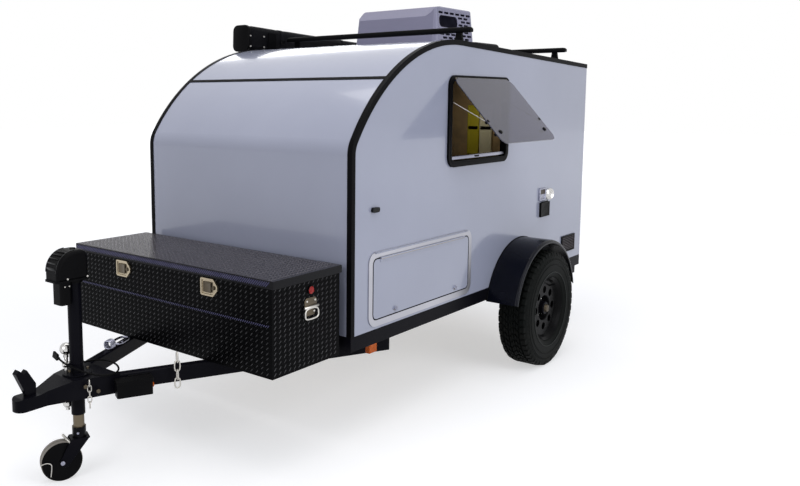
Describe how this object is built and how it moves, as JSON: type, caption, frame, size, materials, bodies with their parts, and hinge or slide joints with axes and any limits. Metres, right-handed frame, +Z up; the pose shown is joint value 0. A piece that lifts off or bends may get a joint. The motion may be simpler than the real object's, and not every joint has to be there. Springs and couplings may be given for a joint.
{
  "type": "teardrop trailer",
  "caption": "Small teardrop camping trailer with a rounded front, hollow cabin, side window, baggage door, rear hatch, front tool chest, roof unit, jack with caster and single axle.",
  "frame": {"origin": "on the ground under the middle of the trailer", "axes": "+X to the trailer's left side, +Y to its rear, +Z up; the coupler is at the -Y end"},
  "size_m": [2.187, 4.267, 2.331],
  "materials": {
    "body_white": "gloss",
    "frame_black": "satin",
    "chest_black": "satin",
    "trim_black": "satin",
    "aluminium": "satin",
    "chrome": "polished",
    "steel": "satin",
    "tyre": "matte",
    "glass": "polished",
    "lens_amber": "gloss",
    "lens_red": "gloss",
    "housing_grey": "satin",
    "plywood": "satin",
    "cushion": "matte",
    "port_black": "satin",
    "caster_grey": "satin",
    "cable_black": "satin",
    "awning_cloth": "matte"
  },
  "bodies": {
    "trailer": {"air_conditioner": "housing_grey", "awning_bag": "awning_cloth", "awning_brackets": "aluminium", "axle": "frame_black", "baggage_frame": "aluminium", "bed_platform": "plywood", "brake_box": "port_black", "bulkhead": "plywood", "cable_plug": "port_black", "chassis_frame": "frame_black", "coupler": "frame_black", "coupler_latch": "frame_black", "crossbars": "trim_black", "edge_trims": "trim_black", "fender_left": "frame_black", "fender_right": "frame_black", "floor_panel": "plywood", "front_band": "trim_black", "front_curved_panel": "body_white", "front_wall": "body_white", "galley_counter": "plywood", "jack_head": "port_black", "jack_post": "frame_black", "marker_lights": "lens_amber", "mattress": "cushion", "plate_holder": "trim_black", "power_cable": "cable_black", "rear_sill": "body_white", "roof_panel": "body_white", "roof_vent": "trim_black", "service_ports": "port_black", "side_wall_left": "body_white", "side_wall_right": "body_white", "stabiliser_brackets": "frame_black", "tail_lights": "lens_red", "tongue_frame": "frame_black", "toolbox_hardware": "chrome", "toolbox_shell": "chest_black", "window_frame": "trim_black", "window_pane": "glass", "window_stays": "steel"},
    "wheel_left": {"tyre_left": "tyre", "rim_left": "frame_black", "brake_drum_left": "frame_black"},
    "wheel_right": {"tyre_right": "tyre", "rim_right": "frame_black", "brake_drum_right": "frame_black"},
    "jack_inner": {"jack_leg": "steel"},
    "caster_swivel": {"caster_fork": "frame_black"},
    "caster_roller": {"caster_wheel": "caster_grey"},
    "chest_lid": {"toolbox_lid": "chest_black"},
    "baggage_leaf": {"baggage_door": "body_white"},
    "entry_leaf": {"entry_door": "body_white", "door_window_frame": "trim_black", "door_window_pane": "glass", "door_window_stays": "steel"},
    "hatch": {"rear_hatch": "body_white", "hatch_handles": "chrome"},
    "corner_leg_left": {"stabiliser_left": "frame_black"},
    "corner_leg_right": {"stabiliser_right": "frame_black"}
  },
  "joints": [
    {"name": "wheel_left_spin", "type": "hinge", "parent": "trailer", "child": "wheel_left", "pos_m": [0.9, 1.0665, 0.376], "axis": [1, 0, 0], "continuous": true},
    {"name": "wheel_right_spin", "type": "hinge", "parent": "trailer", "child": "wheel_right", "pos_m": [-0.9, 1.0665, 0.376], "axis": [1, 0, 0], "continuous": true},
    {"name": "jack_slide", "type": "slide", "parent": "trailer", "child": "jack_inner", "axis": [0, 0, 1], "range_m": [-0.3, 0.05]},
    {"name": "caster_turn", "type": "hinge", "parent": "jack_inner", "child": "caster_swivel", "pos_m": [0, -1.8195, 0.192], "axis": [0, 0, 1], "continuous": true},
    {"name": "caster_roll", "type": "hinge", "parent": "caster_swivel", "child": "caster_roller", "pos_m": [-0.03282, -1.89682, 0.092], "axis": [0.9205, -0.3907, 0], "continuous": true},
    {"name": "chest_lid_lift", "type": "hinge", "parent": "trailer", "child": "chest_lid", "pos_m": [0, -0.818, 0.9267], "axis": [-1, 0, 0], "range_deg": [0, 80]},
    {"name": "baggage_door_lift", "type": "hinge", "parent": "trailer", "child": "baggage_leaf", "pos_m": [0.7733, -0.1045, 0.9255], "axis": [0, -1, 0], "range_deg": [0, 100]},
    {"name": "entry_door_swing", "type": "hinge", "parent": "trailer", "child": "entry_leaf", "pos_m": [-0.7673, -0.161, 1.18], "axis": [0, 0, 1], "range_deg": [0, 95]},
    {"name": "hatch_lift", "type": "hinge", "parent": "trailer", "child": "hatch", "pos_m": [0, 2.1048, 1.95581], "axis": [1, 0, 0], "range_deg": [0, 85]},
    {"name": "corner_leg_left_swing", "type": "hinge", "parent": "trailer", "child": "corner_leg_left", "pos_m": [0.737, 1.9965, 0.449], "axis": [1, 0, 0], "range_deg": [0, 85]},
    {"name": "corner_leg_right_swing", "type": "hinge", "parent": "trailer", "child": "corner_leg_right", "pos_m": [-0.737, 1.9965, 0.449], "axis": [1, 0, 0], "range_deg": [0, 85]}
  ]
}
